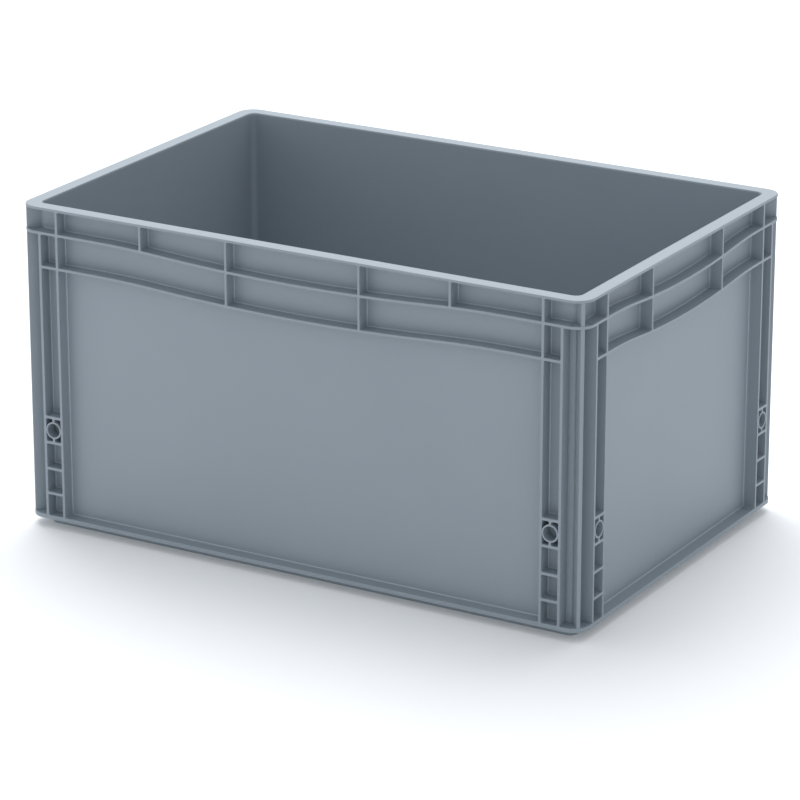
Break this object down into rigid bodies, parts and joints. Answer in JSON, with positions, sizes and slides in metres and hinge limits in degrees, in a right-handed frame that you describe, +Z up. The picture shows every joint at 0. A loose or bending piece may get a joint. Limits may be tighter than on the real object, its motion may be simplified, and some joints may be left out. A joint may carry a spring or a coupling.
{
  "type": "stacking container",
  "caption": "Open-topped rectangular stacking container with ribbed walls, a flat rim, a base flange and a stacking foot, moulded in one piece.",
  "frame": {"origin": "middle of the footprint, on the surface that the foot stands on", "axes": "+Z up towards the open top, +X along the long side, the long side in the picture faces -Y"},
  "size_m": [0.6, 0.4, 0.32],
  "materials": {
    "container": "smooth moulded polypropylene, mid grey, faintly satin"
  },
  "bodies": {
    "root": {"container": "container"}
  },
  "joints": []
}
